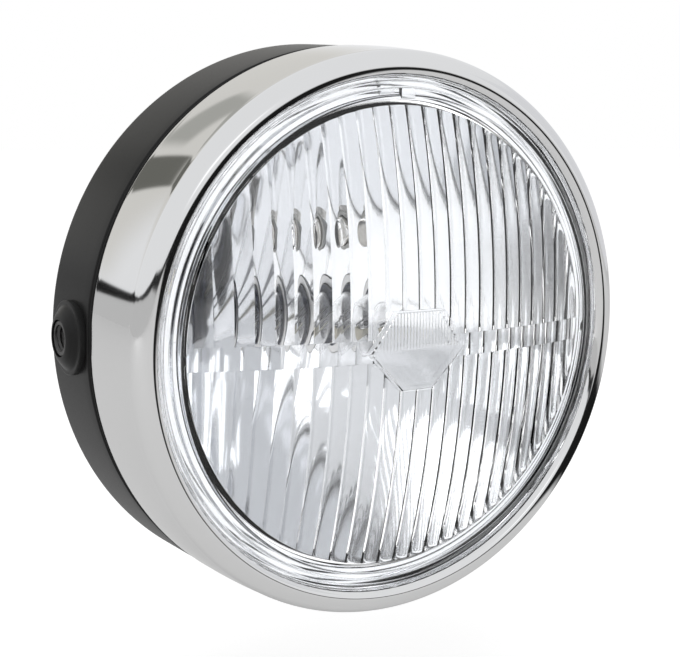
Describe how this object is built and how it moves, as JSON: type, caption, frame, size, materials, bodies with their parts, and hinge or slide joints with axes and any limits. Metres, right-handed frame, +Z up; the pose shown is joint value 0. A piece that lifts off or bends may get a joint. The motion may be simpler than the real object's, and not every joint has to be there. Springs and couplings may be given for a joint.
{
  "type": "moped headlight",
  "caption": "Round moped headlight with a deep chrome rim, a fluted domed lens over a reflector and a black shell held by threads at its two sides.",
  "frame": {"origin": "where the optical axis meets the axis of the two side threads", "axes": "-Y along the beam to the front, +Z up, +X to the right as seen from the front"},
  "size_m": [0.181, 0.1138, 0.1756],
  "materials": {
    "shell_black": "fine-grained black moulding",
    "rim_chrome": "bright chrome plating",
    "lens_glass": "clear pressed glass",
    "mirror_coat": "bright metallised bowl",
    "black_rubber": "matt black rubber",
    "spring_steel": "bright spring steel",
    "plated_steel": "zinc-plated steel",
    "black_steel": "blackened steel",
    "bulb_glass_clear": "clear bulb glass",
    "tungsten": "grey wire",
    "bulb_nickel": "nickel-plated cap",
    "black_base": "black moulded base",
    "contact_brass": "brass blades",
    "socket_cream": "cream moulding"
  },
  "bodies": {
    "root": {"shell": "shell_black", "rim_gasket": "black_rubber", "chrome_rim": "rim_chrome", "lens": "lens_glass", "lens_seal": "black_rubber", "reflector": "mirror_coat", "rim_clips": "spring_steel", "bulb_seat": "plated_steel", "seat_rivets": "plated_steel", "bulb_clip": "spring_steel", "bulb_glass": "bulb_glass_clear", "bulb_shield": "plated_steel", "bulb_filaments": "tungsten", "bulb_cap": "bulb_nickel", "bulb_base": "black_base", "bulb_contacts": "contact_brass", "rubber_boot": "black_rubber", "connector": "socket_cream", "parking_holder": "black_rubber", "parking_bulb_glass": "bulb_glass_clear", "parking_bulb_cap": "bulb_nickel", "parking_contact": "contact_brass", "side_nut_left": "black_steel", "side_nut_right": "black_steel", "side_washer_left": "plated_steel", "side_washer_right": "plated_steel", "rim_screw": "plated_steel", "rim_nut": "spring_steel", "top_hook": "plated_steel", "cable_grommet": "black_rubber"}
  },
  "joints": []
}
